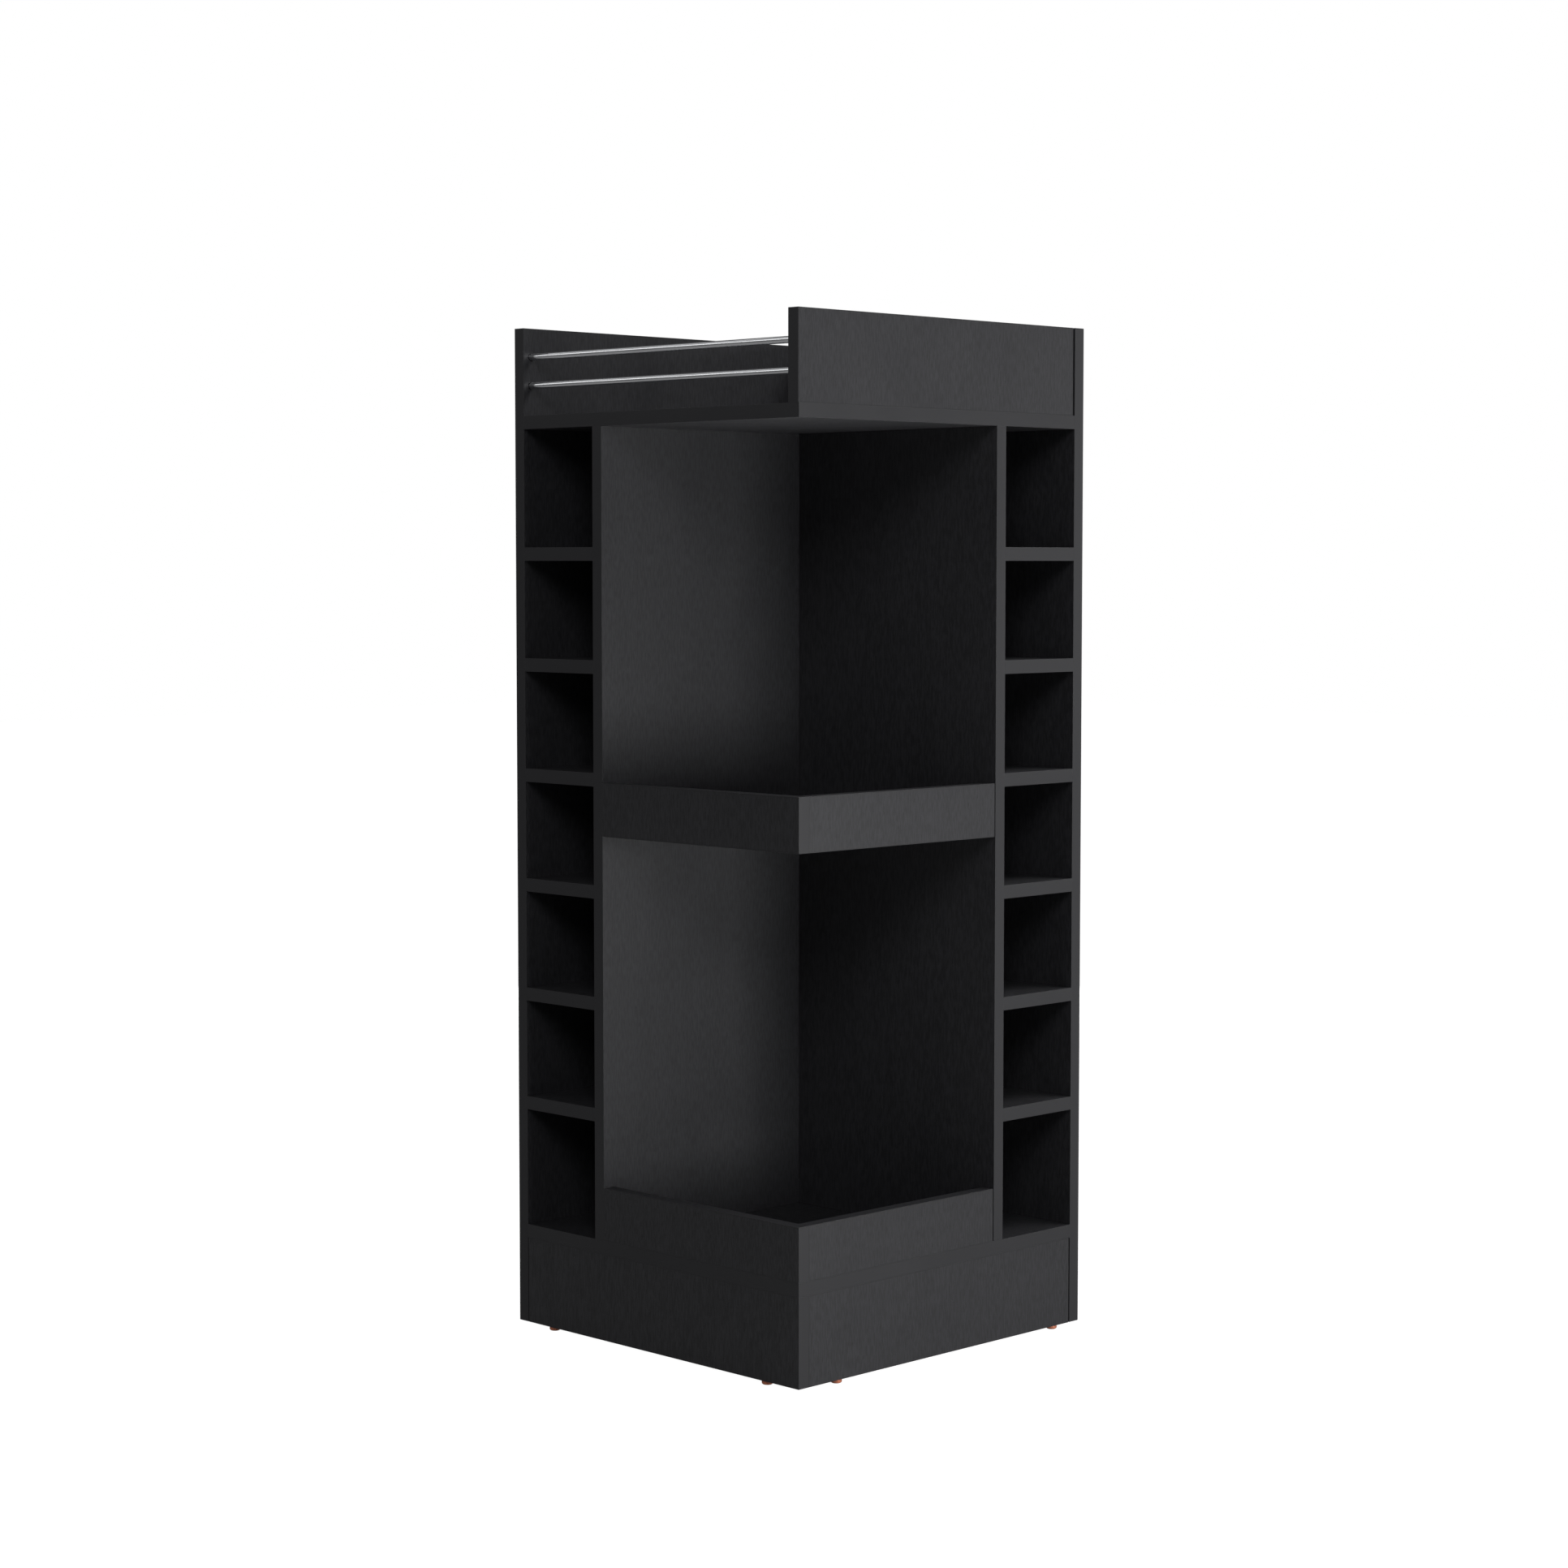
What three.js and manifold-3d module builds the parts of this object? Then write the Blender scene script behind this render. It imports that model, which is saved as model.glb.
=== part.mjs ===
// A free-standing corner display tower of black melamine board on a square plan.
//
// Two of its four sides are open for display and meet at the near vertical edge, which has no
// post: the front side (-Y) and the right side (+X). The two closed sides stand against the walls
// of a room corner: the left side panel (-X) and the back side panel (+Y). A column of cubbies runs
// up the far end of each display side. Between the columns is a recess that is open at the corner,
// halved by a middle shelf, and on top is a shallow tray with two chrome rails across its front.
//
// Millimetres, +Z up. The origin is on the floor under the middle of the square plan.

import * as THREE from "three";
import { mergeVertices } from "three/addons/utils/BufferGeometryUtils.js";
import Module from "manifold-3d";

// ---------------------------------------------------------------- driving dimensions

const WIDTH = 481; // outer side of the square plan
const CARCASS_HEIGHT = 1200; // side panels, from their lower to their upper edge
const BOARD = 16; // thickness of every board

const PLINTH_HEIGHT = 104;
const TRAY_DEPTH = 104; // from the top board's upper face to the panels' upper edge
const LIP_HEIGHT = 63; // the low strips along the open edges of the recess
const CUBBY_WIDTH = 123;
const SHELVES_PER_COLUMN = 6;
const SHELF_PITCH = 132.5;
const FASCIA_SETBACK = 1; // from the right side's plane
const WIDE_SEAM = 2; // open seam where a plinth or the fascia ends at the back side panel
const SEAM = 1.5; // open seam where a lip ends at the right divider
const FINE_SEAM = 1; // open seam where the front plinth ends at the left side panel

const RAIL_DIAMETER = 8;
const RAIL_BORE_DIAMETER = 9;
const RAIL_BORE_DEPTH = 8;
const RAIL_END_PLAY = 0.5; // between a rail's end and the bottom of its bore
const RAIL_INSET = 12; // rail axis behind the front plane
const RAIL_HEIGHTS = { lower: 36, upper: 70 }; // rail axes above the tray floor
const RAIL_CHAMFER = 0.5;

const GLIDE_HEIGHT = 5;
const GLIDE_DIAMETER = 13;
const GLIDE_FOOT_DIAMETER = 9; // the flat that stands on the floor
const GLIDE_ROUNDING_HEIGHT = 2.2;
const GLIDE_NAIL_DIAMETER = 2.4;
const GLIDE_NAIL_LENGTH = 16;
const GLIDE_NAIL_TIP = 2;

const SCREW_LENGTH = 50;
const SCREW_HEAD_DIAMETER = 10;
const SCREW_DIAMETER = 7; // over the crests of the thread
const SCREW_RIM = 1; // straight rim of the head, above its cone
const SCREW_TIP = 4; // tapered end of the shank
const SCREW_SOCKET_ACROSS_FLATS = 4;
const SCREW_SOCKET_DEPTH = 3;
const DOWEL_DIAMETER = 8;
const DOWEL_LENGTH = 30;
const DOWEL_CHAMFER = 1;
const CLEARANCE = 0.3; // round every fastener in its bore
const BORE_OVERRUN = 1; // how far a bore's cutter stands out of the board

// Fasteners' distances from the middle of the plan, along the boards that they join.
const PANEL_SCREWS = { near: -180, far: 170 }; // closed panels into the top and bottom boards
const FRONT_DIVIDER_FASTENERS = { near: -160, far: 150 };
const RIGHT_DIVIDER_FASTENERS = { near: 175, far: 5 };
const FRONT_SHELF_SCREWS = { near: -150, far: 40 }; // front divider into the middle shelf
const RIGHT_SHELF_SCREWS = { near: 150, far: -40 }; // right divider into the middle shelf

// Their heights above the floor, where one upright board is screwed to another.
const CORNER_LEVELS = { low: 200, middle: 605, high: 1010 }; // left panel into back panel
const INNER_CORNER_LEVELS = { low: 340, high: 870 }; // front divider into right divider

const ROUND_SIDES = 12; // facets of fasteners and their bores
const SMOOTH_SIDES = 24; // facets of rails and glides

// ---------------------------------------------------------------- planes worked out from them

const HALF = WIDTH / 2;
const LEFT = -HALF;
const RIGHT = HALF;
const FRONT = -HALF;
const BACK = HALF;
const LEFT_INNER = LEFT + BOARD; // inner face of the left side panel
const BACK_INNER = BACK - BOARD; // inner face of the back side panel

const UNDERSIDE = GLIDE_HEIGHT; // lower edge of the panels and plinths
const TOP = UNDERSIDE + CARCASS_HEIGHT;
const BASE_LOW = UNDERSIDE + PLINTH_HEIGHT; // lower face of the bottom board
const BASE_HIGH = BASE_LOW + BOARD;
const TRAY_FLOOR = TOP - TRAY_DEPTH; // upper face of the top board
const CEILING = TRAY_FLOOR - BOARD; // lower face of the top board
const MIDDLE = (BASE_HIGH + CEILING) / 2; // half height of the space between the boards

const FRONT_DIVIDER_LEFT = LEFT_INNER + CUBBY_WIDTH;
const FRONT_DIVIDER_RIGHT = FRONT_DIVIDER_LEFT + BOARD;
const RIGHT_DIVIDER_BACK = BACK_INNER - CUBBY_WIDTH;
const RIGHT_DIVIDER_FRONT = RIGHT_DIVIDER_BACK - BOARD;

// ---------------------------------------------------------------- materials

function laminate() {
  return new THREE.MeshStandardMaterial({ color: 0x242526, roughness: 0.5, metalness: 0 });
}

function chrome() {
  return new THREE.MeshStandardMaterial({ color: 0xd8d9db, roughness: 0.12, metalness: 1 });
}

function copperedSteel() {
  return new THREE.MeshStandardMaterial({ color: 0x6f4b38, roughness: 0.4, metalness: 0.8 });
}

function zincedSteel() {
  return new THREE.MeshStandardMaterial({ color: 0xa9abad, roughness: 0.35, metalness: 1 });
}

function beech() {
  return new THREE.MeshStandardMaterial({ color: 0xc79f6c, roughness: 0.7, metalness: 0 });
}

// ---------------------------------------------------------------- solids

const wasm = await Module();
wasm.setup();

// A closed geometry as a solid that can be cut.
function solidFrom(geometry) {
  const bare = geometry.clone();
  bare.deleteAttribute("normal");
  bare.deleteAttribute("uv");
  const merged = mergeVertices(bare, 1e-4);
  const mesh = new wasm.Mesh({
    numProp: 3,
    vertProperties: new Float32Array(merged.attributes.position.array),
    triVerts: new Uint32Array(merged.index.array),
  });
  return new wasm.Manifold(mesh);
}

// A cut solid as a geometry with flat faces.
function geometryFrom(solid) {
  const mesh = solid.getMesh();
  const shared = new THREE.BufferGeometry();
  shared.setAttribute("position", new THREE.BufferAttribute(mesh.vertProperties, 3));
  shared.setIndex(new THREE.BufferAttribute(mesh.triVerts, 1));
  const geometry = shared.toNonIndexed();
  geometry.computeVertexNormals();
  return geometry;
}

// A turned piece about the Y axis. Points are [radius, height], from the axis back to the axis.
function turned(points, sides) {
  const outline = points.map(([radius, height]) => new THREE.Vector2(radius, height));
  return new THREE.LatheGeometry(outline, sides);
}

// Turns +Y, the axis of turned pieces, to the given direction.
function turnTo(direction) {
  const up = new THREE.Vector3(0, 1, 0);
  return new THREE.Quaternion().setFromUnitVectors(up, direction);
}

function placed(geometry, start, direction) {
  const unit = new THREE.Vector3(1, 1, 1);
  const matrix = new THREE.Matrix4().compose(start, turnTo(direction), unit);
  return geometry.clone().applyMatrix4(matrix);
}

const TO_RIGHT = new THREE.Vector3(1, 0, 0);
const TO_FRONT = new THREE.Vector3(0, -1, 0);
const TO_TOP = new THREE.Vector3(0, 0, 1);

// ---------------------------------------------------------------- fasteners and their bores

const tower = new THREE.Group();
const bores = []; // every drilling, taken out of each board it meets

function addTurned(name, geometry, start, direction, material) {
  const mesh = new THREE.Mesh(geometry, material);
  mesh.name = name;
  mesh.position.copy(start);
  mesh.quaternion.copy(turnTo(direction));
  tower.add(mesh);
}

function addBore(geometry, start, direction) {
  bores.push(solidFrom(placed(geometry, start, direction)));
}

// One-piece connecting screw and its bore. Height 0 is the face of its head, just below the
// board's surface, and the shank is as wide as the thread's crests.
function screwOutline(grow) {
  const head = SCREW_HEAD_DIAMETER / 2 + grow;
  const shank = SCREW_DIAMETER / 2 + grow;
  return [[head, SCREW_RIM], [shank, SCREW_RIM + head - shank]];
}

function screwGeometry() {
  const head = SCREW_HEAD_DIAMETER / 2;
  const shank = SCREW_DIAMETER / 2;
  const tip = [[shank, SCREW_LENGTH - SCREW_TIP], [shank / 2, SCREW_LENGTH], [0, SCREW_LENGTH]];
  const body = solidFrom(turned([[0, 0], [head, 0], ...screwOutline(0), ...tip], ROUND_SIDES));
  const socketRadius = SCREW_SOCKET_ACROSS_FLATS / Math.sqrt(3);
  const socket = new THREE.CylinderGeometry(socketRadius, socketRadius, 2 * SCREW_SOCKET_DEPTH, 6);
  return geometryFrom(body.subtract(solidFrom(socket)));
}

function screwBoreGeometry() {
  const head = SCREW_HEAD_DIAMETER / 2 + CLEARANCE;
  const shank = SCREW_DIAMETER / 2 + CLEARANCE;
  const mouth = [[0, -BORE_OVERRUN], [head, -BORE_OVERRUN]];
  const end = [[shank, SCREW_LENGTH + CLEARANCE], [0, SCREW_LENGTH + CLEARANCE]];
  return turned([...mouth, ...screwOutline(CLEARANCE), ...end], ROUND_SIDES);
}

const SCREW = screwGeometry();
const SCREW_BORE = screwBoreGeometry();
const ZINC = zincedSteel();

function addScrew(name, x, y, z, direction) {
  const start = new THREE.Vector3(x, y, z).addScaledVector(direction, CLEARANCE);
  addTurned(name, SCREW, start, direction, ZINC);
  addBore(SCREW_BORE, start, direction);
}

// Fluted beech dowel, half in each board, centred on the joint.
function addDowel(name, x, y, z, direction) {
  const radius = DOWEL_DIAMETER / 2;
  const half = DOWEL_LENGTH / 2;
  const outline = [[0, -half], [radius - DOWEL_CHAMFER, -half], [radius, DOWEL_CHAMFER - half]];
  outline.push([radius, half - DOWEL_CHAMFER], [radius - DOWEL_CHAMFER, half], [0, half]);
  const wide = radius + CLEARANCE;
  const deep = half + CLEARANCE;
  const bore = turned([[0, -deep], [wide, -deep], [wide, deep], [0, deep]], ROUND_SIDES);
  const centre = new THREE.Vector3(x, y, z);
  addTurned(name, turned(outline, ROUND_SIDES), centre, direction, beech());
  addBore(bore, centre, direction);
}

// Screws through the wall-side faces of the two closed panels, where a room's walls hide them.
function addPanelScrews() {
  const levels = { top: CEILING + BOARD / 2, base: BASE_LOW + BOARD / 2 };
  for (const [level, z] of Object.entries(levels)) {
    for (const [end, along] of Object.entries(PANEL_SCREWS)) {
      addScrew(`screw_left_${level}_${end}`, LEFT, along, z, TO_RIGHT);
      addScrew(`screw_back_${level}_${end}`, along, BACK, z, TO_FRONT);
    }
  }
  for (const [level, z] of Object.entries(CORNER_LEVELS)) {
    addScrew(`screw_corner_${level}`, LEFT, BACK - BOARD / 2, z, TO_RIGHT);
  }
}

// Screws up into the dividers and dowels down into them, and the screws between the dividers.
function addDividerFasteners() {
  const frontDividerMiddle = FRONT_DIVIDER_LEFT + BOARD / 2;
  const rightDividerMiddle = RIGHT_DIVIDER_BACK - BOARD / 2;
  for (const [end, y] of Object.entries(FRONT_DIVIDER_FASTENERS)) {
    addScrew(`screw_front_divider_${end}`, frontDividerMiddle, y, BASE_LOW, TO_TOP);
    addDowel(`dowel_front_divider_${end}`, frontDividerMiddle, y, CEILING, TO_TOP);
  }
  for (const [end, x] of Object.entries(RIGHT_DIVIDER_FASTENERS)) {
    addScrew(`screw_right_divider_${end}`, x, rightDividerMiddle, BASE_LOW, TO_TOP);
    addDowel(`dowel_right_divider_${end}`, x, rightDividerMiddle, CEILING, TO_TOP);
  }
  for (const [level, z] of Object.entries(INNER_CORNER_LEVELS)) {
    addScrew(`screw_inner_corner_${level}`, FRONT_DIVIDER_LEFT, rightDividerMiddle, z, TO_RIGHT);
  }
}

// Screws into the middle shelf from inside the cubbies.
function addMiddleShelfScrews() {
  const z = MIDDLE + BOARD / 2;
  for (const [end, y] of Object.entries(FRONT_SHELF_SCREWS)) {
    addScrew(`screw_shelf_front_${end}`, FRONT_DIVIDER_LEFT, y, z, TO_RIGHT);
  }
  for (const [end, x] of Object.entries(RIGHT_SHELF_SCREWS)) {
    addScrew(`screw_shelf_right_${end}`, x, RIGHT_DIVIDER_BACK, z, TO_FRONT);
  }
}

// ---------------------------------------------------------------- rails and glides

// Chrome rails across the tray's open front, their ends in blind bores.
function addRails() {
  const fasciaInner = RIGHT - FASCIA_SETBACK - BOARD;
  const leftEnd = LEFT_INNER - RAIL_BORE_DEPTH;
  const boreLength = fasciaInner + RAIL_BORE_DEPTH - leftEnd;
  const railLength = boreLength - 2 * RAIL_END_PLAY;
  const metal = chrome();
  const radius = RAIL_DIAMETER / 2;
  const end = radius - RAIL_CHAMFER;
  const outline = [[0, 0], [end, 0], [radius, RAIL_CHAMFER]];
  outline.push([radius, railLength - RAIL_CHAMFER], [end, railLength], [0, railLength]);
  const wide = RAIL_BORE_DIAMETER / 2;
  const bore = turned([[0, 0], [wide, 0], [wide, boreLength], [0, boreLength]], SMOOTH_SIDES);
  for (const [level, height] of Object.entries(RAIL_HEIGHTS)) {
    const boreStart = new THREE.Vector3(leftEnd, FRONT + RAIL_INSET, TRAY_FLOOR + height);
    const railStart = boreStart.clone().addScaledVector(TO_RIGHT, RAIL_END_PLAY);
    addTurned(`rail_${level}`, turned(outline, SMOOTH_SIDES), railStart, TO_RIGHT, metal);
    addBore(bore, boreStart, TO_RIGHT);
  }
}

// Nail-on glides: a shallow steel button with a nail up into the board's lower edge.
function addGlides() {
  const radius = GLIDE_DIAMETER / 2;
  const foot = GLIDE_FOOT_DIAMETER / 2;
  const middle = GLIDE_ROUNDING_HEIGHT / 3;
  const nail = GLIDE_NAIL_DIAMETER / 2;
  const nailTop = GLIDE_HEIGHT + GLIDE_NAIL_LENGTH;
  const button = [[0, 0], [foot, 0], [foot + (radius - foot) * 0.7, middle]];
  button.push([radius, GLIDE_ROUNDING_HEIGHT], [radius, GLIDE_HEIGHT], [nail, GLIDE_HEIGHT]);
  const glide = turned([...button, [nail, nailTop - GLIDE_NAIL_TIP], [0, nailTop]], SMOOTH_SIDES);
  const wide = nail + CLEARANCE;
  const boreLow = GLIDE_HEIGHT - BORE_OVERRUN;
  const boreTop = nailTop + CLEARANCE;
  const bore = turned([[0, boreLow], [wide, boreLow], [wide, boreTop], [0, boreTop]], ROUND_SIDES);
  const inFrontPlinth = FRONT + BOARD / 2;
  const inRightPlinth = RIGHT - BOARD / 2;
  const inLeftPanel = LEFT + BOARD / 2;
  const inBackPanel = BACK - BOARD / 2;
  const places = {
    front_left: [LEFT + 56, inFrontPlinth],
    front_near: [RIGHT - 58, inFrontPlinth],
    right_near: [inRightPlinth, FRONT + 68],
    right_far: [inRightPlinth, BACK - 40],
    left_front: [inLeftPanel, FRONT + 60],
    left_back: [inLeftPanel, BACK - 45],
    back_right: [RIGHT - 60, inBackPanel],
  };
  const metal = copperedSteel();
  for (const [name, [x, y]] of Object.entries(places)) {
    const floor = new THREE.Vector3(x, y, 0);
    addTurned(`glide_${name}`, glide, floor, TO_TOP, metal);
    addBore(bore, floor, TO_TOP);
  }
}

// ---------------------------------------------------------------- boards

const BLACK = laminate();

// A board from its lowest to its highest corner, less the bores that it meets.
function addBoard(name, [x0, y0, z0], [x1, y1, z1]) {
  const box = new THREE.BoxGeometry(x1 - x0, y1 - y0, z1 - z0);
  box.translate((x0 + x1) / 2, (y0 + y1) / 2, (z0 + z1) / 2);
  const cut = bores.reduce((solid, bore) => solid.subtract(bore), solidFrom(box));
  const mesh = new THREE.Mesh(geometryFrom(cut), BLACK);
  mesh.name = name;
  tower.add(mesh);
}

// The two closed sides. The back panel stands between the left panel and the right side's plane.
function addSidePanels() {
  addBoard("left_side_panel", [LEFT, FRONT, UNDERSIDE], [LEFT_INNER, BACK, TOP]);
  addBoard("back_side_panel", [LEFT_INNER, BACK_INNER, UNDERSIDE], [RIGHT, BACK, TOP]);
}

// Square boards above the plinths and under the tray.
function addLevelBoards() {
  addBoard("bottom_board", [LEFT_INNER, FRONT, BASE_LOW], [RIGHT, BACK_INNER, BASE_HIGH]);
  addBoard("top_board", [LEFT_INNER, FRONT, CEILING], [RIGHT, BACK_INNER, TRAY_FLOOR]);
}

// The walls of the recess, which are also the inner walls of the cubby columns.
function addDividers() {
  addBoard(
    "front_divider",
    [FRONT_DIVIDER_LEFT, FRONT, BASE_HIGH],
    [FRONT_DIVIDER_RIGHT, BACK_INNER, CEILING],
  );
  addBoard(
    "right_divider",
    [FRONT_DIVIDER_RIGHT, RIGHT_DIVIDER_FRONT, BASE_HIGH],
    [RIGHT, RIGHT_DIVIDER_BACK, CEILING],
  );
}

// Fixed shelves, centred on the half height, so the top and bottom cubbies are a little taller.
function addCubbyShelves() {
  const lowest = MIDDLE - BOARD / 2 - ((SHELVES_PER_COLUMN - 1) / 2) * SHELF_PITCH;
  for (let index = 0; index < SHELVES_PER_COLUMN; index += 1) {
    const low = lowest + index * SHELF_PITCH;
    const high = low + BOARD;
    addBoard(
      `front_shelf_${index + 1}`,
      [LEFT_INNER, FRONT, low],
      [FRONT_DIVIDER_LEFT, BACK_INNER, high],
    );
    addBoard(
      `right_shelf_${index + 1}`,
      [FRONT_DIVIDER_RIGHT, RIGHT_DIVIDER_BACK, low],
      [RIGHT, BACK_INNER, high],
    );
  }
}

// A lip along the front that runs through to the right side, and one that ends behind it.
function addLips(level, low) {
  const high = low + LIP_HEIGHT;
  addBoard(
    `${level}_lip_front`,
    [FRONT_DIVIDER_RIGHT, FRONT, low],
    [RIGHT, FRONT + BOARD, high],
  );
  addBoard(
    `${level}_lip_right`,
    [RIGHT - BOARD, FRONT + BOARD, low],
    [RIGHT, RIGHT_DIVIDER_FRONT - SEAM, high],
  );
}

// The middle shelf of the recess lies behind its lips, level with their lower edges.
function addMiddleShelf() {
  addBoard(
    "middle_shelf",
    [FRONT_DIVIDER_RIGHT, FRONT + BOARD, MIDDLE],
    [RIGHT - BOARD, RIGHT_DIVIDER_FRONT, MIDDLE + BOARD],
  );
}

function addPlinths() {
  addBoard(
    "plinth_front",
    [LEFT_INNER + FINE_SEAM, FRONT, UNDERSIDE],
    [RIGHT, FRONT + BOARD, BASE_LOW],
  );
  addBoard(
    "plinth_right",
    [RIGHT - BOARD, FRONT + BOARD, UNDERSIDE],
    [RIGHT, BACK_INNER - WIDE_SEAM, BASE_LOW],
  );
}

// The tray's right wall. Its left wall and back wall are the side panels.
function addTrayFascia() {
  addBoard(
    "tray_fascia",
    [RIGHT - FASCIA_SETBACK - BOARD, FRONT, TRAY_FLOOR],
    [RIGHT - FASCIA_SETBACK, BACK_INNER - WIDE_SEAM, TOP],
  );
}

// Bores come first, because each board is cut by those that it meets.
addPanelScrews();
addDividerFasteners();
addMiddleShelfScrews();
addRails();
addGlides();
addSidePanels();
addLevelBoards();
addDividers();
addCubbyShelves();
addLips("lower", BASE_HIGH);
addLips("middle", MIDDLE);
addMiddleShelf();
addPlinths();
addTrayFascia();

export default tower;
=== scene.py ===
import math
import random

import bmesh
import bpy
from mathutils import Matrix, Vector


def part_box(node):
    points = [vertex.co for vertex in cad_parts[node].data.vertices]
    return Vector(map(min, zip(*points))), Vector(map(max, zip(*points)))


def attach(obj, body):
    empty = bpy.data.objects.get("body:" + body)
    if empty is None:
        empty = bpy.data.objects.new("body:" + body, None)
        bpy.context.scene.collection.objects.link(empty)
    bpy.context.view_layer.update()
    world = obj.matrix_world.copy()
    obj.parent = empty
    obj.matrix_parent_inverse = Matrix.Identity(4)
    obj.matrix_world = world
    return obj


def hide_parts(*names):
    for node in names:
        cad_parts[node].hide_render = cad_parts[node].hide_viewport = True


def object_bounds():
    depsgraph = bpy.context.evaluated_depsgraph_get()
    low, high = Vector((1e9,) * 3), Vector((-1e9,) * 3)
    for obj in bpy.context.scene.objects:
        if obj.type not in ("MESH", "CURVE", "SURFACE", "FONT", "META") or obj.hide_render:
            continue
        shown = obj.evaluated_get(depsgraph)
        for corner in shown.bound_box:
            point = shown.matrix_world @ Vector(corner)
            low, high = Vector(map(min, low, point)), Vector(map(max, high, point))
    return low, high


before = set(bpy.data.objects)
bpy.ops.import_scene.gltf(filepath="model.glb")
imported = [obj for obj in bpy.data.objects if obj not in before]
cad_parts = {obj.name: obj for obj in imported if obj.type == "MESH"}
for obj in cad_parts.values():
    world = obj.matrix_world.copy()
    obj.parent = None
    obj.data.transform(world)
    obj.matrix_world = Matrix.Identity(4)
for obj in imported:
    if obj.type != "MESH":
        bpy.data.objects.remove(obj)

# The looks of a black melamine corner display tower: board, edge banding, chrome rails, glides
# and the fasteners inside. Everything is in metres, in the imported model's frame.

CAD_LOW, CAD_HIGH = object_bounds()
ROOT = "root"
MM = 0.001

# ---------------------------------------------------------------- node helpers


class Paint:
    """A new material and short ways to add nodes to it."""

    # Where a mix node has A, B and its result, for colours and for numbers.
    COLOUR_SOCKETS = (6, 7, 2)
    NUMBER_SOCKETS = (2, 3, 0)

    def __init__(self, name):
        self.material = bpy.data.materials.new(name)
        self.material.use_nodes = True
        self.tree = self.material.node_tree
        self.shader = self.tree.nodes["Principled BSDF"]

    def node(self, kind, **values):
        made = self.tree.nodes.new(kind)
        for key, value in values.items():
            setattr(made, key, value)
        return made

    def link(self, source, target):
        self.tree.links.new(source, target)

    def feed(self, socket, value):
        """Sets a socket to a number, or links an output to it."""
        if isinstance(value, bpy.types.NodeSocket):
            self.link(value, socket)
        else:
            socket.default_value = value

    def math(self, operation, a, b=0.0, clamp=False):
        made = self.node("ShaderNodeMath", operation=operation, use_clamp=clamp)
        self.feed(made.inputs[0], a)
        self.feed(made.inputs[1], b)
        return made.outputs[0]

    def ramp(self, value, low, high, to_low=0.0, to_high=1.0):
        """A smooth step of value from low to high, scaled to the given range."""
        made = self.node("ShaderNodeMapRange", interpolation_type="SMOOTHSTEP")
        self.feed(made.inputs["Value"], value)
        made.inputs["From Min"].default_value = low
        made.inputs["From Max"].default_value = high
        made.inputs["To Min"].default_value = to_low
        made.inputs["To Max"].default_value = to_high
        return made.outputs[0]

    def mixed(self, kind, sockets, factor, a, b):
        """The result of a mix node of either kind."""
        first, second, result = sockets
        made = self.node("ShaderNodeMix", data_type=kind)
        self.feed(made.inputs["Factor"], factor)
        self.feed(made.inputs[first], a)
        self.feed(made.inputs[second], b)
        return made.outputs[result]

    def mix(self, factor, a, b):
        """Colours a and b mixed by factor."""
        return self.mixed("RGBA", self.COLOUR_SOCKETS, factor, a, b)

    def blend(self, factor, a, b):
        """Numbers a and b mixed by factor."""
        return self.mixed("FLOAT", self.NUMBER_SOCKETS, factor, a, b)

    def place(self, shift=(0, 0, 0), scale=(1, 1, 1)):
        """The point on the surface in the frame, shifted and stretched."""
        coordinates = self.node("ShaderNodeTexCoord")
        mapping = self.node("ShaderNodeMapping")
        self.link(coordinates.outputs["Object"], mapping.inputs["Vector"])
        mapping.inputs["Location"].default_value = shift
        mapping.inputs["Scale"].default_value = scale
        return mapping.outputs[0]

    def split(self, vector):
        made = self.node("ShaderNodeSeparateXYZ")
        self.link(vector, made.inputs[0])
        return made.outputs

    def noise(self, vector, scale, detail=2.0, roughness=0.5):
        made = self.node("ShaderNodeTexNoise")
        self.link(vector, made.inputs["Vector"])
        made.inputs["Scale"].default_value = scale
        made.inputs["Detail"].default_value = detail
        made.inputs["Roughness"].default_value = roughness
        return made.outputs[0]

    def facing(self):
        """How squarely the surface faces along X, Y and Z, each from 0 to 1."""
        coordinates = self.node("ShaderNodeTexCoord")
        parts = self.split(coordinates.outputs["Normal"])
        return [self.math("ABSOLUTE", part) for part in parts]

    def bump(self, height, distance, strength=1.0):
        made = self.node("ShaderNodeBump")
        made.inputs["Distance"].default_value = distance
        made.inputs["Strength"].default_value = strength
        self.link(height, made.inputs["Height"])
        self.link(made.outputs[0], self.shader.inputs["Normal"])

    def set(self, socket, value):
        self.feed(self.shader.inputs[socket], value)


# ---------------------------------------------------------------- camera and studio

CAMERA_AZIMUTH = 45.014  # degrees, 0 looks along +Y
CAMERA_DISTANCE = 3.926  # from the object's upright axis
CAMERA_HEIGHT = 0.9247
CAMERA_PAN = 0.2635  # degrees to the left of the upright axis
CAMERA_TILT = 3.8604  # degrees below the horizon
CAMERA_LENS = 74.9  # millimetres, for a sensor this wide
CAMERA_SENSOR = 36.0
CAMERA_REACH = 60.0  # past the far corner of the floor

# Softboxes: azimuth in degrees the same way round as the camera's, distance and height of the
# middle, width and height of the box in metres, and watts. They face the middle of the object.
SOFTBOXES = {
    "right_low": (95, 2.6, 0.35, (1.3, 0.9), 37.0),
    "right_far_low": (135, 2.6, 0.35, (1.3, 0.9), 1.5),
    "right_far_top": (135, 1.8, 3.2, (1.6, 1.6), 53.0),
    "right_back": (155, 2.6, 1.1, (1.3, 0.9), 4.2),
    "front_top": (45, 4.6, 3.2, (1.8, 1.8), 69.0),
    "back_left": (-135, 3.2, 0.6, (2.0, 1.0), 40.0),
}
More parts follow.
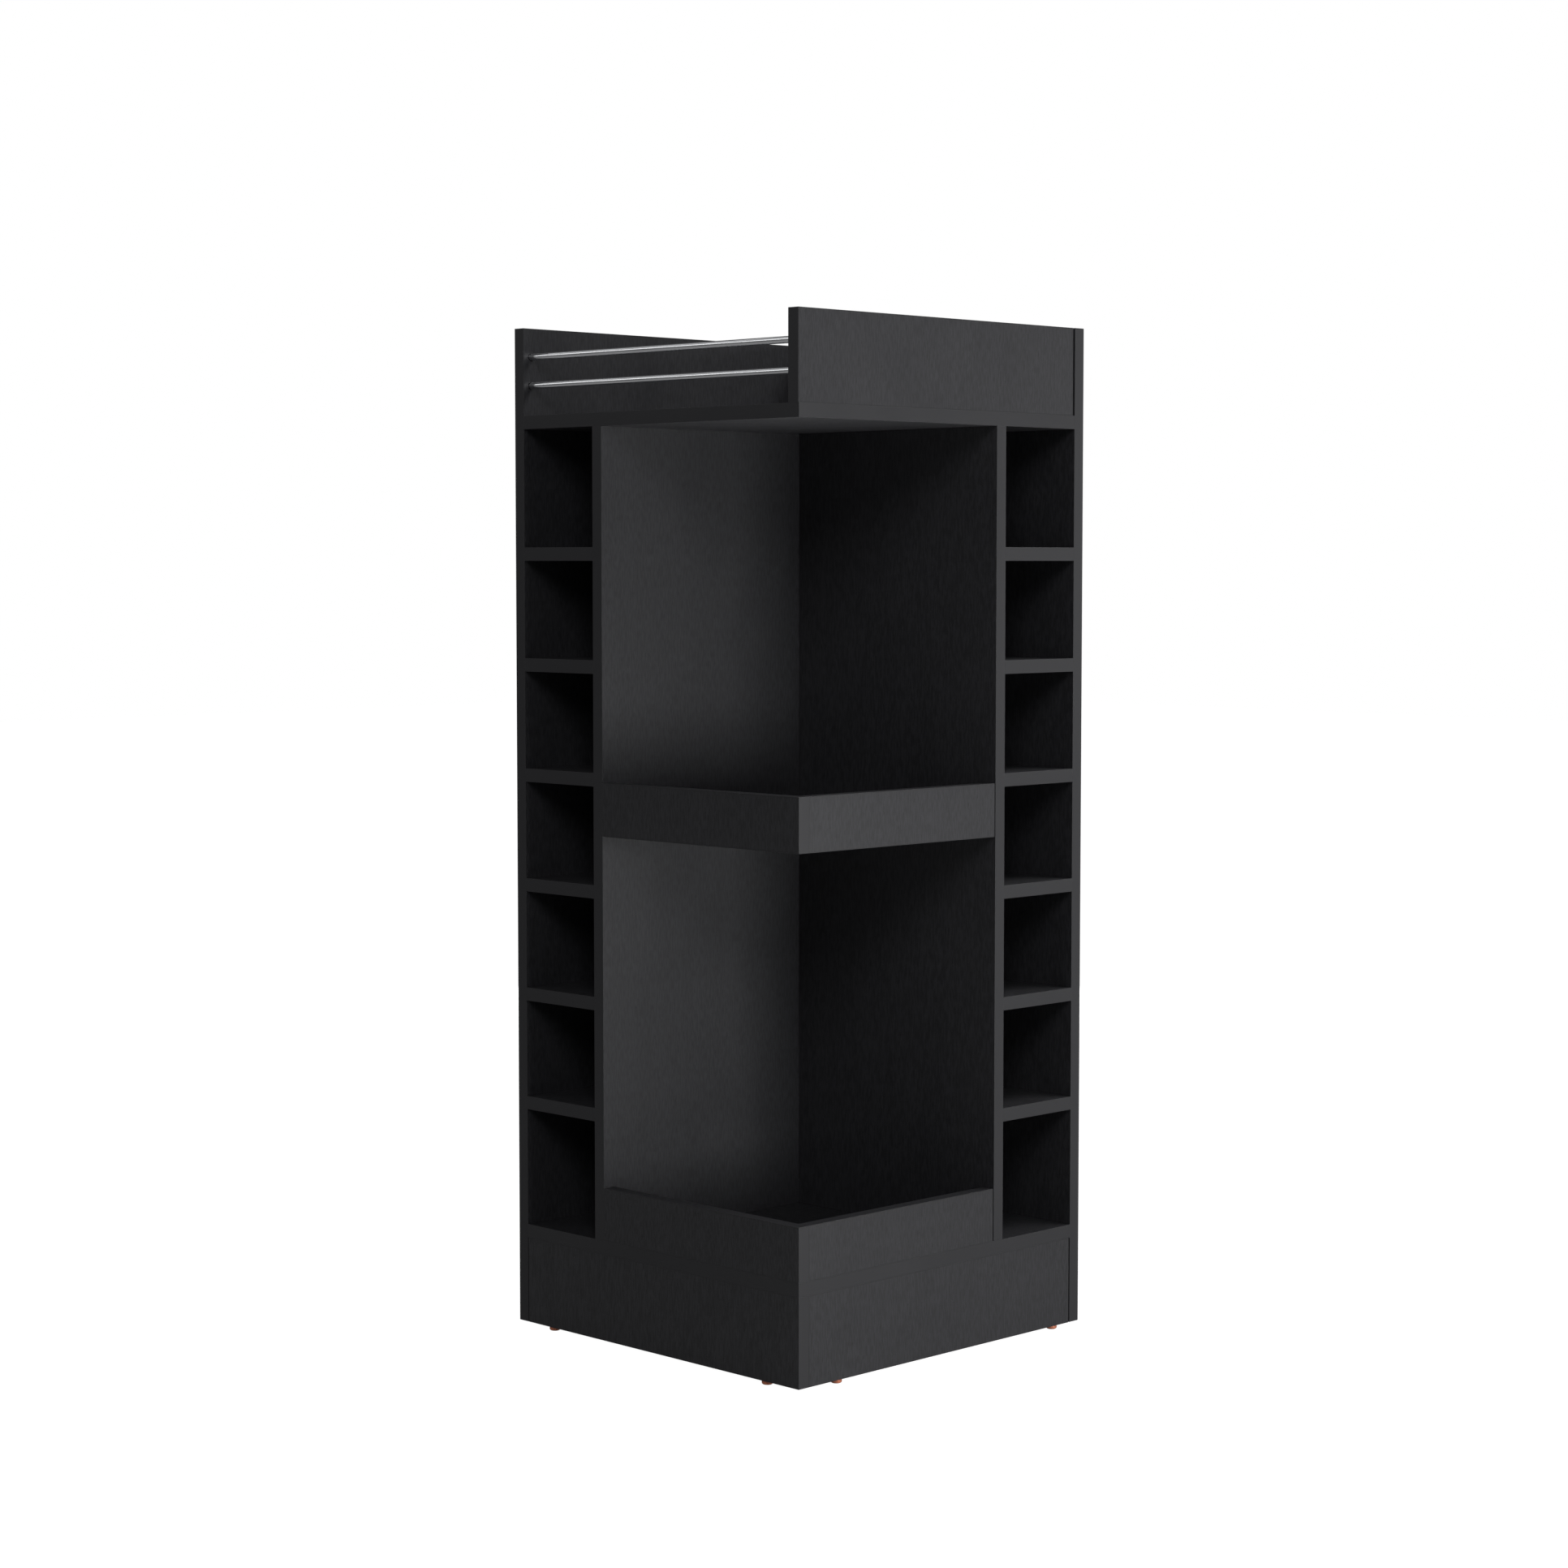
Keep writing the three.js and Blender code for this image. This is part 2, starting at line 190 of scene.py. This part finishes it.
# Strips that hang parallel to the rails and face them, in the same terms.
RAIL_STRIPS = {
    "strip_front": (-51, 4.2, 2.6, (2.8, 1.2), 11.5),
    "strip_top": (-73, 3.45, 4.2, (2.8, 2.0), 7.0),
}
# A small card in the recess, in the same terms. It faces up and lights the top board alone.
RECESS_CARD = (45, 0.23, 0.75, (0.2, 0.2), 0.75)
AIM_HEIGHT = 0.6
AMBIENT = 0.08
AMBIENT_TINT = (0.975, 0.975, 1.0, 1.0)
WHITE = (1.0, 1.0, 1.0, 1.0)
FLOOR_REACH = 14.0  # from the middle to each side
FLOOR_ALBEDO = 0.3
FLOOR_GLOW = 0.082  # the light that the floor gives off
FLOOR_WHITE = 0.99  # what the camera sees of the floor before any light falls on it
OPEN_SIDE_INSET = 0.03  # the floor is dark from this far inside the object's open sides
CLOSED_SIDE_INSET = 0.014  # and from this far inside its closed sides
SHADE_BLUR = 2 * MM  # how softly the dark part ends


def compass(azimuth):
    """The level unit vector that points from the object to a camera or light at that azimuth."""
    angle = math.radians(azimuth)
    return Vector((math.sin(angle), -math.cos(angle), 0.0))


def make_camera():
    data = bpy.data.cameras.new("camera")
    data.lens = CAMERA_LENS
    data.sensor_width = CAMERA_SENSOR
    data.clip_end = CAMERA_REACH
    camera = bpy.data.objects.new("camera", data)
    bpy.context.scene.collection.objects.link(camera)
    camera.location = compass(CAMERA_AZIMUTH) * CAMERA_DISTANCE + Vector((0, 0, CAMERA_HEIGHT))
    level = -compass(CAMERA_AZIMUTH + CAMERA_PAN)
    tilt = math.radians(CAMERA_TILT)
    forward = level * math.cos(tilt) + Vector((0, 0, -math.sin(tilt)))
    camera.rotation_mode = "QUATERNION"
    camera.rotation_quaternion = forward.to_track_quat("-Z", "Y")
    bpy.context.scene.camera = camera


def make_light(name, place, aim):
    azimuth, distance, height, size, power = place
    data = bpy.data.lights.new(name, "AREA")
    data.shape = "RECTANGLE"
    data.size, data.size_y = size
    data.energy = power
    light = bpy.data.objects.new(name, data)
    bpy.context.scene.collection.objects.link(light)
    light.location = compass(azimuth) * distance + Vector((0, 0, height))
    light.rotation_mode = "QUATERNION"
    light.rotation_quaternion = (aim - light.location).to_track_quat("-Z", "Y")
    light.visible_camera = False
    return light


def make_studio_lights():
    for name, place in SOFTBOXES.items():
        make_light(name, place, Vector((0, 0, AIM_HEIGHT)))
    rail_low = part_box("rail_upper")[0]
    for name, place in RAIL_STRIPS.items():
        azimuth, distance = place[:2]
        abreast = (compass(azimuth) * distance).x
        make_light(name, place, Vector((abreast, rail_low.y, rail_low.z)))
    azimuth, distance = RECESS_CARD[:2]
    overhead = compass(azimuth) * distance + Vector((0, 0, CAD_HIGH.z))
    card = make_light("recess_card", RECESS_CARD, overhead)
    lit = bpy.data.collections.new("lit_by_recess_card")
    lit.objects.link(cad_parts["top_board"])
    card.light_linking.receiver_collection = lit


def make_world():
    """White behind the object, and a dimmer, even light on it."""
    world = bpy.data.worlds.new("studio")
    bpy.context.scene.world = world
    world.use_nodes = True
    nodes, links = world.node_tree.nodes, world.node_tree.links
    nodes.clear()
    output = nodes.new("ShaderNodeOutputWorld")
    mix = nodes.new("ShaderNodeMixShader")
    ambient = nodes.new("ShaderNodeBackground")
    backdrop = nodes.new("ShaderNodeBackground")
    path = nodes.new("ShaderNodeLightPath")
    ambient.inputs["Color"].default_value = AMBIENT_TINT
    ambient.inputs["Strength"].default_value = AMBIENT
    backdrop.inputs["Color"].default_value = WHITE
    backdrop.inputs["Strength"].default_value = 1.0
    links.new(path.outputs["Is Camera Ray"], mix.inputs[0])
    links.new(ambient.outputs[0], mix.inputs[1])
    links.new(backdrop.outputs[0], mix.inputs[2])
    links.new(mix.outputs[0], output.inputs[0])


def make_floor():
    """White to the camera, but dark under the object, where no light would reach."""
    mesh = bpy.data.meshes.new("floor")
    signs = [(-1, -1), (1, -1), (1, 1), (-1, 1)]
    corners = [(FLOOR_REACH * x, FLOOR_REACH * y, 0) for x, y in signs]
    mesh.from_pydata(corners, [], [(0, 1, 2, 3)])
    floor = bpy.data.objects.new("floor", mesh)
    bpy.context.scene.collection.objects.link(floor)
    paint = Paint("floor_white")
    point = paint.split(paint.place())
    shade_low = Vector((CAD_LOW.x + CLOSED_SIDE_INSET, CAD_LOW.y + OPEN_SIDE_INSET))
    shade_high = Vector((CAD_HIGH.x - OPEN_SIDE_INSET, CAD_HIGH.y - CLOSED_SIDE_INSET))
    middle = (shade_low + shade_high) / 2
    across = paint.math("ABSOLUTE", paint.math("SUBTRACT", point[0], middle.x))
    along = paint.math("ABSOLUTE", paint.math("SUBTRACT", point[1], middle.y))
    off_middle = paint.math("MAXIMUM", across, along)
    shade_edge = shade_high.x - middle.x
    white = paint.ramp(off_middle, shade_edge - SHADE_BLUR, shade_edge, 0.0, FLOOR_WHITE)
    seen = paint.node("ShaderNodeLightPath").outputs["Is Camera Ray"]
    paint.set("Base Color", (FLOOR_ALBEDO, FLOOR_ALBEDO, FLOOR_ALBEDO, 1.0))
    paint.set("Roughness", 1.0)
    paint.set("Specular IOR Level", 0.0)
    paint.set("Emission Color", WHITE)
    paint.set("Emission Strength", paint.blend(seen, FLOOR_GLOW, white))
    mesh.materials.append(paint.material)


# ---------------------------------------------------------------- black board

FACE_DARK = (0.0158, 0.0158, 0.0178, 1.0)
FACE_LIGHT = (0.0272, 0.0272, 0.0307, 1.0)
PORE = (0.0115, 0.0115, 0.0128, 1.0)
BAND = (0.0199, 0.0199, 0.0223, 1.0)
# Painted highlight: the lighter banding colour laid on the rounded arrises.
BAND_HIGHLIGHT = (0.028, 0.028, 0.031, 1.0)
GLUE_LINE = (0.0070, 0.0070, 0.0072, 1.0)
BAND_THICKNESS = 1.0 * MM
ARRIS_WIDTH = 0.22 * MM
BOARD_SPECULAR = 0.5
BOARD_ROUGHNESS = (0.41, 0.49)
PORE_ROUGHNESS = 0.12  # what the open pores add
BAND_ROUGHNESS = 0.01  # what the plain banding adds
RELIEF = 0.06 * MM
NEARLY_SQUARE = 1 * MM  # boards that differ less have their grain along X

# Noise patterns: how fast they change along the grain against across it, so that a small number
# draws them out, then scale, detail and roughness.
STREAKS = (0.14, 560, 2.0, 0.55)
PORES = (0.09, 1150, 1.0, 0.5)
WIDE_STREAKS = (0.12, 38, 3.0, 0.55)
# Patches that break up the painted highlight on the arrises.
ARRIS_HIGHLIGHT_PATCHES = (1.0, 55, 3.0, 0.6)
SMUDGES = (1.0, 7, 3.0, 0.6)
PEEL = (1.0, 900, 1.0, 0.5)

# Where each effect starts and is complete, on its pattern or on how squarely a surface faces.
FINE_TONE = (0.36, 0.64)
WIDE_TONE = (0.3, 0.7)
OPEN_PORE = (0.60, 0.70)
# Where the patches of the painted arris highlight start and are complete.
ARRIS_HIGHLIGHT_PATCHY = (0.40, 0.66)
SMUDGED = (0.3, 0.7)
BROAD_FACE = (0.82, 0.97)
ROUND_ARRIS = (0.985, 0.90)
GLUE_SPREAD = (0.18 * MM, 0.05 * MM)  # distance from the line

WIDE_TONE_SHARE = 0.1
PORE_DARKNESS = 0.75
GLUE_DARKNESS = 0.8


def edge_distance(paint, low, high, axes):
    """Distance from the surface point to the nearest edge of the board's broad face."""
    point = paint.split(paint.place())
    nearest = None
    for axis in axes:
        for distance in (
            paint.math("SUBTRACT", point[axis], low[axis]),
            paint.math("SUBTRACT", high[axis], point[axis]),
        ):
            nearest = distance if nearest is None else paint.math("MINIMUM", nearest, distance)
    return nearest


def board_material(name, low, high, thin_axis, grain_axis, seed):
    """Wood-grain melamine on the two broad faces and plain banding on the narrow ones, with a painted
    highlight on the banding's rounded arrises.
    """
    paint = Paint(name)
    draw = random.Random(seed)
    shift = [draw.uniform(-5, 5) for _ in range(3)]

    def pattern(along_grain, scale, detail, roughness):
        steps = [along_grain if axis == grain_axis else 1.0 for axis in range(3)]
        return paint.noise(paint.place(shift, steps), scale, detail, roughness)

    streaks = pattern(*STREAKS)
    fine_tone = paint.ramp(streaks, *FINE_TONE)
    wide_tone = paint.ramp(pattern(*WIDE_STREAKS), *WIDE_TONE, -WIDE_TONE_SHARE, WIDE_TONE_SHARE)
    tone = paint.math("ADD", fine_tone, wide_tone, clamp=True)
    pore_mask = paint.ramp(pattern(*PORES), *OPEN_PORE)
    grain = paint.mix(tone, FACE_DARK, FACE_LIGHT)
    grain = paint.mix(paint.math("MULTIPLY", pore_mask, PORE_DARKNESS), grain, PORE)

    broad_axes = [axis for axis in range(3) if axis != thin_axis]
    distance = edge_distance(paint, low, high, broad_axes)
    facing = paint.facing()
    on_face = paint.ramp(facing[thin_axis], *BROAD_FACE)
    inside_band = paint.ramp(distance, BAND_THICKNESS - 0.1 * MM, BAND_THICKNESS)
    laminate = paint.math("MULTIPLY", on_face, inside_band)
    off_line = paint.math("ABSOLUTE", paint.math("SUBTRACT", distance, BAND_THICKNESS))
    line = paint.ramp(off_line, *GLUE_SPREAD, 0.0, GLUE_DARKNESS)
    glue = paint.math("MULTIPLY", on_face, line)

    squarest = paint.math("MAXIMUM", paint.math("MAXIMUM", facing[0], facing[1]), facing[2])
    # Painted highlight: the rounded arrises get a lighter banding colour, in patches.
    arris = paint.ramp(squarest, *ROUND_ARRIS)
    highlight_patches = paint.ramp(pattern(*ARRIS_HIGHLIGHT_PATCHES), *ARRIS_HIGHLIGHT_PATCHY)
    band = paint.mix(paint.math("MULTIPLY", arris, highlight_patches), BAND, BAND_HIGHLIGHT)
    colour = paint.mix(laminate, band, grain)
    paint.set("Base Color", paint.mix(glue, colour, GLUE_LINE))

    smudge = paint.ramp(pattern(*SMUDGES), *SMUDGED, *BOARD_ROUGHNESS)
    pored = paint.math("ADD", smudge, paint.math("MULTIPLY", pore_mask, PORE_ROUGHNESS))
    plain = paint.math("ADD", smudge, BAND_ROUGHNESS)
    paint.set("Roughness", paint.blend(laminate, plain, pored))
    paint.set("Specular IOR Level", BOARD_SPECULAR)

    relief = paint.math("SUBTRACT", paint.math("MULTIPLY", streaks, 0.5), pore_mask)
    peel = paint.math("MULTIPLY", pattern(*PEEL), 0.25)
    paint.bump(paint.blend(laminate, peel, relief), distance=RELIEF, strength=0.5)
    return paint.material


def is_board(name):
    """Every CAD node but the turned pieces."""
    return not name.startswith(("screw_", "dowel_", "rail_", "glide_"))


def board_axes(low, high):
    """The axis through the board and the axis that its grain runs along."""
    size = [high[axis] - low[axis] for axis in range(3)]
    thin_axis = size.index(min(size))
    if thin_axis != 2:
        return thin_axis, 2
    return thin_axis, 0 if size[0] >= size[1] - NEARLY_SQUARE else 1


def soften_edges(board):
    """Rounds a board's arrises without touching its mesh."""
    weld = board.modifiers.new("weld", "WELD")
    weld.merge_threshold = 0.01 * MM
    bevel = board.modifiers.new("arris", "BEVEL")
    bevel.width = ARRIS_WIDTH
    bevel.segments = 3
    bevel.limit_method = "ANGLE"
    bevel.angle_limit = math.radians(60)
    bevel.use_clamp_overlap = False
    bevel.loop_slide = False
    board.modifiers.new("normals", "WEIGHTED_NORMAL").keep_sharp = False


def dress_boards():
    boards = sorted(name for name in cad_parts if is_board(name))
    for seed, name in enumerate(boards):
        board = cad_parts[name]
        low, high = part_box(name)
        thin_axis, grain_axis = board_axes(low, high)
        material = board_material(f"melamine_{name}", low, high, thin_axis, grain_axis, seed)
        board.data.materials.clear()
        board.data.materials.append(material)
        soften_edges(board)


# ---------------------------------------------------------------- metal and wood finishes

# Each finish varies between two shades.
CHROME = (0.85, 0.86, 0.88, 1.0), (0.89, 0.90, 0.92, 1.0)
CHROME_ROUGHNESS = (0.176, 0.184)
COPPER = (0.50, 0.155, 0.085, 1.0), (0.72, 0.26, 0.15, 1.0)
COPPER_WORN = (0.70, 0.46, 0.36, 1.0)
COPPER_ROUGHNESS = (0.34, 0.5)
UNWORN_HEIGHT, WORN_HEIGHT = 1.4 * MM, 0.2 * MM  # the glides are rubbed bare near the floor
ZINC = (0.42, 0.42, 0.43, 1.0), (0.62, 0.62, 0.60, 1.0)
ZINC_ROUGHNESS = (0.28, 0.46)
BEECH = (0.42, 0.26, 0.13, 1.0), (0.60, 0.42, 0.24, 1.0)
BEECH_ROUGHNESS = 0.75


def chrome_material():
    paint = Paint("chrome_plate")
    haze = paint.noise(paint.place(scale=(0.15, 1, 1)), scale=240, detail=3.0, roughness=0.6)
    spots = paint.noise(paint.place(), scale=60, detail=4.0, roughness=0.6)
    paint.set("Base Color", paint.mix(haze, *CHROME))
    paint.set("Metallic", 1.0)
    paint.set("Roughness", paint.ramp(spots, 0.35, 0.75, *CHROME_ROUGHNESS))
    return paint.material


def glide_material():
    paint = Paint("coppered_steel")
    cloud = paint.noise(paint.place(), scale=420, detail=4.0, roughness=0.6)
    height = paint.split(paint.place())[2]
    low_down = paint.ramp(height, UNWORN_HEIGHT, WORN_HEIGHT)
    worn = paint.math("MULTIPLY", low_down, paint.ramp(cloud, 0.4, 0.6))
    paint.set("Base Color", paint.mix(worn, paint.mix(cloud, *COPPER), COPPER_WORN))
    paint.set("Metallic", 0.3)
    paint.set("Roughness", paint.ramp(cloud, 0.3, 0.7, *COPPER_ROUGHNESS))
    paint.bump(cloud, distance=0.03 * MM, strength=0.4)
    return paint.material


def zinc_material():
    paint = Paint("zinc_plate")
    cloud = paint.noise(paint.place(), scale=300, detail=4.0, roughness=0.6)
    paint.set("Base Color", paint.mix(cloud, *ZINC))
    paint.set("Metallic", 1.0)
    paint.set("Roughness", paint.ramp(cloud, 0.3, 0.7, *ZINC_ROUGHNESS))
    paint.bump(cloud, distance=0.02 * MM, strength=0.4)
    return paint.material


def beech_material():
    paint = Paint("beech")
    fibre = paint.noise(paint.place(scale=(1, 1, 0.08)), scale=900, detail=3.0, roughness=0.6)
    paint.set("Base Color", paint.mix(fibre, *BEECH))
    paint.set("Roughness", BEECH_ROUGHNESS)
    paint.bump(fibre, distance=0.08 * MM, strength=0.6)
    return paint.material


# ---------------------------------------------------------------- turned pieces

RAIL_SIDES = 64
GLIDE_SIDES = 48
SCREW_SIDES = 48
DOWEL_SIDES = 128


def named(start):
    """The CAD nodes whose names start like this."""
    return sorted(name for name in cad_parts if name.startswith(start))


def add_piece(name, mesh, material, node):
    """Puts a finished mesh in the scene in place of a CAD node."""
    piece = bpy.data.objects.new(name, mesh)
    bpy.context.scene.collection.objects.link(piece)
    mesh.materials.append(material)
    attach(piece, ROOT)
    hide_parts(node)
    return piece


class Turning:
    """A closed mesh built ring by ring round an axis."""

    def __init__(self, sides, start, direction):
        self.sides = sides
        self.start = start
        self.turn = Vector((0, 0, 1)).rotation_difference(direction).to_matrix()
        self.made = bmesh.new()

    def point(self, angle, radius, height):
        """A point at that angle. The radius is a number or a function of the angle."""
        reach = radius(angle) if callable(radius) else radius
        spot = Vector((reach * math.cos(angle), reach * math.sin(angle), height))
        return self.made.verts.new(self.start + self.turn @ spot)

    def ring(self, radius, height):
        """A ring of points, or the one point on the axis where the radius is 0."""
        if radius == 0:
            return [self.point(0, 0, height)]
        step = 2 * math.pi / self.sides
        return [self.point(step * side, radius, height) for side in range(self.sides)]

    def face(self, *corners):
        self.made.faces.new(list(dict.fromkeys(corners)))

    def join(self, lower, upper):
        """Faces between two rings, or between a ring and a point on the axis."""
        for side in range(self.sides):
            after = (side + 1) % self.sides
            corners = [lower[side % len(lower)], lower[after % len(lower)]]
            corners += [upper[after % len(upper)], upper[side % len(upper)]]
            self.face(*corners)

    def stack(self, outline):
        """Joined rings, one for each (radius, height). Gives the first and the last."""
        rings = [self.ring(radius, height) for radius, height in outline]
        for lower, upper in zip(rings, rings[1:]):
            self.join(lower, upper)
        return rings[0], rings[-1]

    def thread(self, lower, upper, height, turns, pitch, core, crest):
        """A helical ridge round a core, between two rings, starting at the given height."""
        # One turn of the profile: radius, and height as a share of the pitch.
        profile = [(core, 0.0), (core, 0.50), (crest, 0.68), (crest, 0.78)]
        steps = turns * self.sides
        winding = []
        for step in range(steps + self.sides + 1):
            angle = 2 * math.pi * step / self.sides
            level = height + pitch * step / self.sides
            points = profile if step <= steps else profile[:1]
            winding.append([self.point(angle, reach, level + pitch * rise) for reach, rise in points])
        for step in range(steps):
            here = winding[step] + [winding[step + self.sides][0]]
            after = winding[step + 1] + [winding[step + 1 + self.sides][0]]
            for place in range(len(profile)):
                self.face(here[place], after[place], after[place + 1], here[place + 1])
        for side in range(self.sides):
            after = (side + 1) % self.sides
            self.face(lower[side], lower[after], winding[side + 1][0], winding[side][0])
            top = steps + side
            self.face(winding[top][0], winding[top + 1][0], upper[after], upper[side])
        self.face(lower[0], *winding[0], winding[self.sides][0])
        self.face(upper[0], *winding[steps], winding[steps + self.sides][0])

    def mesh(self, name, smooth_angle):
        """The finished mesh, smooth but for edges sharper than the angle in degrees."""
        bmesh.ops.recalc_face_normals(self.made, faces=self.made.faces)
        mesh = bpy.data.meshes.new(name)
        self.made.to_mesh(mesh)
        self.made.free()
        mesh.shade_smooth()
        mesh.set_sharp_from_angle(angle=math.radians(smooth_angle))
        return mesh


def arc(centre, radius, start, end, steps):
    """Points of a round corner, in degrees from the radial direction."""
    points = []
    for step in range(steps + 1):
        angle = math.radians(start + (end - start) * step / steps)
        points.append((centre[0] + radius * math.cos(angle), centre[1] + radius * math.sin(angle)))
    return points


def make_rails(material):
    corner = 0.6 * MM
    straight = corner + 1 * MM  # rings here keep the round corners out of the long side's shading
    for node in named("rail_"):
        low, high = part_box(node)
        radius = (high.z - low.z) / 2
        length = high.x - low.x
        outline = [(0, 0)]
        outline += arc((radius - corner, corner), corner, -90, 0, 4)
        outline += [(radius, straight), (radius, length - straight)]
        outline += arc((radius - corner, length - corner), corner, 0, 90, 4)
        outline += [(0, length)]
        start = Vector((low.x, (low.y + high.y) / 2, (low.z + high.z) / 2))
        turning = Turning(RAIL_SIDES, start, Vector((1, 0, 0)))
        turning.stack(outline)
        mesh = turning.mesh(node, smooth_angle=40)
        add_piece(f"chrome_{node}", mesh, material, node)


def make_glides(material):
    """A pressed steel button with a soft lower rim and a nail up into the board."""
    button, foot_inset, lower_rim, upper_rim = 5 * MM, 2.6 * MM, 2.2 * MM, 0.5 * MM
    nail, nail_end, nail_point = 1.2 * MM, 0.2 * MM, 2.2 * MM
    for node in named("glide_"):
        low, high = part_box(node)
        radius = (high.x - low.x) / 2
        outline = [(0, 0), (radius - foot_inset, 0)]
        outline += arc((radius - lower_rim, lower_rim), lower_rim, -80, 0, 8)
        outline += arc((radius - upper_rim, button - upper_rim), upper_rim, 0, 90, 3)
        outline += [(nail, button), (nail, high.z - nail_point), (nail_end, high.z), (0, high.z)]
        start = Vector(((low.x + high.x) / 2, (low.y + high.y) / 2, 0))
        turning = Turning(GLIDE_SIDES, start, Vector((0, 0, 1)))
        turning.stack(outline)
        mesh = turning.mesh(node, smooth_angle=50)
        add_piece(f"button_{node}", mesh, material, node)


def hexagon(across_flats):
    """The distance from a hexagon's middle to its outline, at an angle."""
    sector = math.pi / 3
    return lambda angle: across_flats / 2 / math.cos((angle + sector / 2) % sector - sector / 2)


def fastener_axis(low, high):
    """Where a fastener starts and the way it points. Its head is at the start.

    The screws along X go in from the left, those along Y from the back and those along Z from
    below.
    """
    size = high - low
    middle = (low + high) / 2
    if size.x > max(size.y, size.z):
        return Vector((low.x, middle.y, middle.z)), Vector((1, 0, 0))
    if size.y > size.z:
        return Vector((middle.x, high.y, middle.z)), Vector((0, -1, 0))
    return Vector((middle.x, middle.y, low.z)), Vector((0, 0, 1))


def make_screws(material):
    """One-piece connecting screws: countersunk head, hexagon socket, coarse thread."""
    # Radii, depths from the head's face, then what the outline's corners take off.
    head, neck, core, crest, tip = 5 * MM, 3.2 * MM, 2.35 * MM, 3.5 * MM, 1.7 * MM
    head_side, head_depth, neck_end, core_start = 1 * MM, 2.8 * MM, 11.5 * MM, 12.4 * MM
    rim, run_out, tip_chamfer = 0.3 * MM, 0.6 * MM, 0.6 * MM
    thread_start, pitch, turns = 13 * MM, 3 * MM, 10
    thread_end = thread_start + pitch * (turns + 1)
    socket, socket_mouth = hexagon(4 * MM), hexagon(4.4 * MM)
    socket_chamfer, socket_depth, drill_depth = 0.2 * MM, 3.0 * MM, 3.6 * MM
    for node in named("screw_"):
        low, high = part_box(node)
        start, direction = fastener_axis(low, high)
        length = max(high - low)
        turning = Turning(SCREW_SIDES, start, direction)
        upper = [(0, drill_depth), (socket, socket_depth), (socket, socket_chamfer)]
        upper += [(socket_mouth, 0), (head - rim, 0)]
        upper += arc((head - rim, rim), rim, -60, 0, 3)
        upper += [(head, head_side), (neck, head_depth), (neck, neck_end), (core, core_start)]
        lower = [(core, thread_end + run_out), (tip, length - tip_chamfer)]
        lower += [(tip - tip_chamfer, length), (0, length)]
        _, above = turning.stack(upper)
        below, _ = turning.stack(lower)
        turning.thread(above, below, thread_start, turns, pitch, core, crest)
        mesh = turning.mesh(node, smooth_angle=35)
        add_piece(f"threaded_{node}", mesh, material, node)


def make_dowels(material):
    """Beech dowels with straight flutes and chamfered ends."""
    radius, chamfer, flutes, depth = 4 * MM, 1 * MM, 16, 0.35 * MM

    def fluted(angle):
        return radius - depth * max(0.0, math.cos(flutes * angle)) ** 2

    for node in named("dowel_"):
        low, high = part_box(node)
        length = high.z - low.z
        start = Vector(((low.x + high.x) / 2, (low.y + high.y) / 2, low.z))
        end = radius - chamfer
        turning = Turning(DOWEL_SIDES, start, Vector((0, 0, 1)))
        outline = [(0, 0), (end, 0), (fluted, chamfer), (fluted, length - chamfer)]
        turning.stack(outline + [(end, length), (0, length)])
        mesh = turning.mesh(node, smooth_angle=40)
        add_piece(f"fluted_{node}", mesh, material, node)


# ---------------------------------------------------------------- the object

make_camera()
make_studio_lights()
make_world()
make_floor()
dress_boards()
make_rails(chrome_material())
make_glides(glide_material())
make_screws(zinc_material())
make_dowels(beech_material())

bpy.context.scene.view_settings.view_transform = "Standard"
